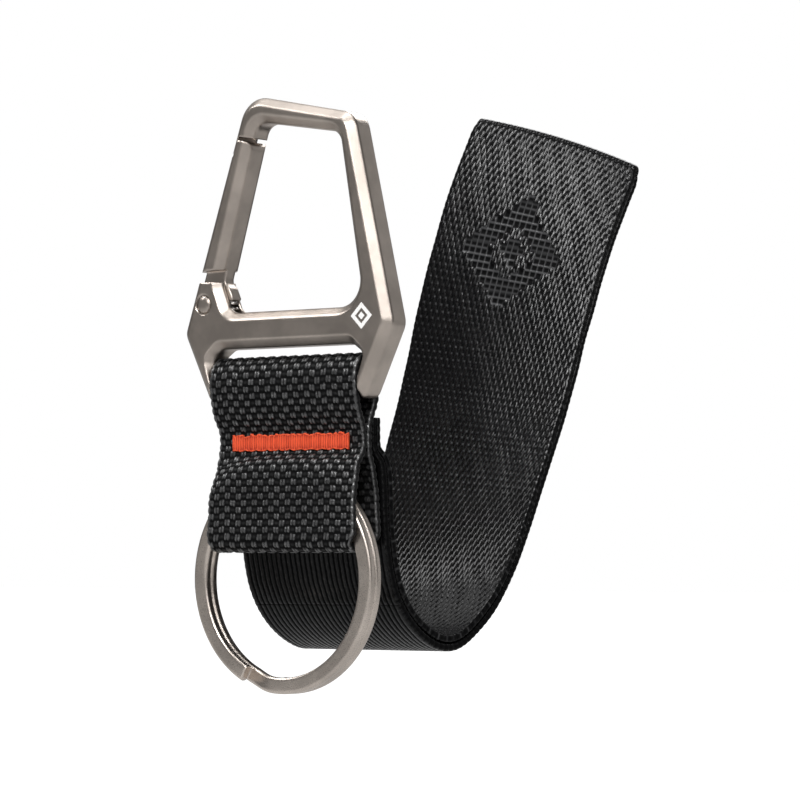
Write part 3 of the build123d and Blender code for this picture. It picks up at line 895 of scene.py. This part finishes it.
# ---- dress the object --------------------------------------------------------------------------------
WARM_GREY = (0.47, 0.415, 0.370)
frame_metal = satin_metal("satin_frame_metal", WARM_GREY, 0.33, marked=True)
gate_metal = satin_metal("satin_gate_metal", WARM_GREY, 0.33)
ring_metal = satin_metal("satin_ring_steel", (0.60, 0.535, 0.480), 0.30)
spring_metal = satin_metal("bright_spring_steel", (0.42, 0.40, 0.38), 0.28)
# The second colour of each webbing is painted sheen, laid on its yarn tops.
coarse_nylon = woven("coarse_black_webbing", (0.0045, 0.0045, 0.0047), (0.044, 0.044, 0.045),
                     fibres_across=7.0, fibre_height=0.04, roughness=0.34, gloss=1.9, gap_top=0.42)
fine_nylon = woven("fine_black_webbing", (0.0014, 0.0014, 0.0016), (0.0045, 0.0045, 0.0048),
                   fibres_across=9.0, fibre_height=0.012, roughness=0.20, gloss=0.23, gap_top=0.62)
# The orange thread's first colour is the painted shade between its stitches.
orange_thread = stitched("orange_tack_thread", (0.30, 0.011, 0.004), (0.86, 0.112, 0.040))


def dress(piece, material):
    piece.data.materials.clear()
    piece.data.materials.append(material)
    return piece


dress(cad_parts["carabiner_frame"], frame_metal)
dress(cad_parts["gate_lever"], gate_metal)
dress(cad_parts["gate_rivet"], gate_metal)
dress(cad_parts["split_ring"], ring_metal)

spring = dress(build_spring(), spring_metal)
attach(spring, "carabiner")
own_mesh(spring)
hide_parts("gate_spring")


tab = dress(build_tab(), coarse_nylon)
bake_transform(tab)
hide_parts("tab_bar_loop", "tab_ring_loop")

for node, y, outward_y, seed in (("bar_tack_front", TACK_FRONT_Y, -1.0, 31),
                                 ("bar_tack_back", TACK_BACK_Y, 1.0, 32)):
    tack = dress(build_tack(node + "_stitches", y, outward_y, seed), orange_thread)
    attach(tack, "tab")
    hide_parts(node)

near_outer, near_inner = build_near_strap()
for piece, node in ((near_outer, "strap_near_outer_layer"), (near_inner, "strap_near_inner_layer")):
    dress(piece, fine_nylon)
    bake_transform(piece)
    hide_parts(node)
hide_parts("strap_sewn_ends")

far_strap = dress(build_far_strap(), fine_nylon)
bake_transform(far_strap)
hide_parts("strap_far_outer_layer", "strap_far_inner_layer", "strap_end_fold")


# ---- studio ------------------------------------------------------------------------------------------
object_low, object_high = cad_box
object_middle = (object_low + object_high) / 2
FLOOR_DROP = 0.06
FLOOR_SIZE = 12.0
STUDIO_GREY = 0.045
WHITE = colour(1.0, 1.0, 1.0)


def build_floor():
    """A pale floor, white to the camera and a soft grey in the metal's reflections."""
    mesh = bpy.data.meshes.new("floor")
    reach = FLOOR_SIZE / 2
    z = object_low.z - FLOOR_DROP
    corners = [(-reach, -reach, z), (reach, -reach, z), (reach, reach, z), (-reach, reach, z)]
    mesh.from_pydata(corners, [], [(0, 1, 2, 3)])
    floor = bpy.data.objects.new("floor", mesh)
    bpy.context.scene.collection.objects.link(floor)
    material, tree, shader = new_material("pale_floor", Roughness=0.9)
    where = add_node(tree, "ShaderNodeTexCoord", "Object", {})
    shade = smooth_range(noise(tree, where, 3.0), 0.2, 0.8)
    paint = blend_colours(tree, shade, colour(0.38, 0.38, 0.38), colour(0.42, 0.42, 0.42))
    connect(tree, paint, shader.inputs["Base Color"])
    camera_ray = add_node(tree, "ShaderNodeLightPath", "Is Camera Ray", {})
    shader.inputs["Emission Color"].default_value = WHITE
    connect(tree, camera_ray, shader.inputs["Emission Strength"])
    mesh.materials.append(material)


def direction(azimuth, elevation):
    """Towards a place in the studio: azimuth 0 is in front of the object and 90 is on its right."""
    a, e = radians(azimuth), radians(elevation)
    return Vector((sin(a) * cos(e), -cos(a) * cos(e), sin(e)))


def softbox(name, azimuth, elevation, distance, width, height, watts):
    """A lamp that faces the object's middle."""
    light = bpy.data.lights.new(name, "AREA")
    light.shape = "RECTANGLE"
    light.size = width
    light.size_y = height
    light.energy = watts
    lamp = bpy.data.objects.new(name, light)
    towards = direction(azimuth, elevation)
    lamp.location = object_middle + towards * distance
    lamp.rotation_euler = towards.to_track_quat("Z", "Y").to_euler()
    lamp.visible_camera = False
    bpy.context.scene.collection.objects.link(lamp)


def build_world():
    """White behind the object, and a soft grey studio around it for everything it reflects."""
    world = bpy.data.worlds.new("studio")
    world.use_nodes = True
    tree = world.node_tree
    background = next(n for n in tree.nodes if n.type == "BACKGROUND")
    where = add_node(tree, "ShaderNodeTexCoord", "Generated", {})

    def glow(azimuth, elevation, inner, outer, strength):
        """A round bright patch: full within inner degrees of its middle, and gone at outer degrees."""
        towards = tuple(direction(azimuth, elevation))
        pair = {0: where, 1: towards}
        near = add_node(tree, "ShaderNodeVectorMath", "Value", pair, operation="DOT_PRODUCT")
        return smooth_range(near, cos(radians(outer)), cos(radians(inner))) * strength

    around = glow(50, 28, 4, 34, 1.15)
    for patch in ((0, 88, 10, 35, 0.6), (-38, 2, 10, 50, 0.22), (142, 6, 10, 38, 0.4), (-82, 62, 8, 28, 1.3),
                  (205, 25, 15, 60, 0.2)):
        around = around + glow(*patch)
    around = around + STUDIO_GREY
    camera_ray = add_node(tree, "ShaderNodeLightPath", "Is Camera Ray", {})
    strength = add_node(tree, "ShaderNodeMix", 0, {0: camera_ray, 2: around, 3: 1.0})
    background.inputs["Color"].default_value = WHITE
    connect(tree, strength, background.inputs["Strength"])
    bpy.context.scene.world = world


CAMERA_AZIMUTH = 38.0
CAMERA_ELEVATION = -2.5
CAMERA_PLACE = Vector((0.30678, -0.36947, -0.05775))
CAMERA_LENS = 160.9


def build_camera():
    camera = bpy.data.cameras.new("camera")
    camera.lens = CAMERA_LENS
    camera.sensor_width = 36.0
    camera.clip_start = 0.01
    camera.clip_end = 50.0
    viewer = bpy.data.objects.new("camera", camera)
    viewer.location = CAMERA_PLACE
    viewer.rotation_euler = direction(CAMERA_AZIMUTH, CAMERA_ELEVATION).to_track_quat("Z", "Y").to_euler()
    bpy.context.scene.collection.objects.link(viewer)
    bpy.context.scene.camera = viewer


build_floor()
build_world()
softbox("key", 26, 39, 1.0, 0.30, 0.28, 7.0)
softbox("left_top", -66, 45, 1.0, 0.36, 0.36, 3.0)
softbox("overhead", 0, 84, 1.0, 0.4, 0.3, 2.5)
softbox("right_strip", 56, 26, 0.9, 0.2, 0.5, 0.8)
softbox("rim", 195, 42, 1.0, 0.6, 0.4, 4.5)
build_camera()
bpy.context.scene.view_settings.view_transform = "Standard"
